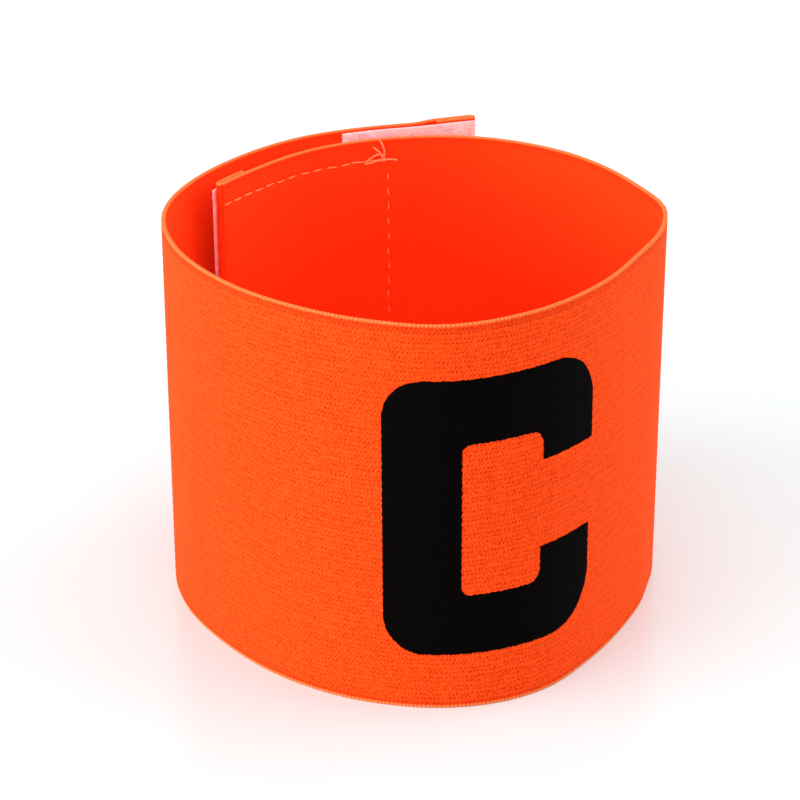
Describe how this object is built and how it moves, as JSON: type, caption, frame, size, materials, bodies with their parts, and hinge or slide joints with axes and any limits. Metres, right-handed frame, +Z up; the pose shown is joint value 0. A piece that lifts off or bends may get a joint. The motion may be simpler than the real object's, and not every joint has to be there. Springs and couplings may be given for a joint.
{
  "type": "captain armband",
  "caption": "Armband of ribbed elastic wound to an open loop and lapped over itself, with hook-and-loop tape at its hemmed ends and a plain block letter on the front.",
  "frame": {"origin": "centre of the bounding box's bottom face, on the surface that the armband stands on", "axes": "+Z up along the loop's axis, -Y towards the lettered front, +X to the right as seen from the front; the flap lies at the back, at +Y"},
  "size_m": [0.088, 0.104, 0.07],
  "materials": {
    "elastic": "matte ribbed knitted elastic",
    "loop_pile": "matte brushed loop pile",
    "hook_tape": "satin woven tape with hooks",
    "print": "matte printed film"
  },
  "bodies": {
    "root": {"elastic_band": "elastic", "loop_tape": "loop_pile", "hook_tape": "hook_tape", "captain_letter": "print"}
  },
  "joints": []
}
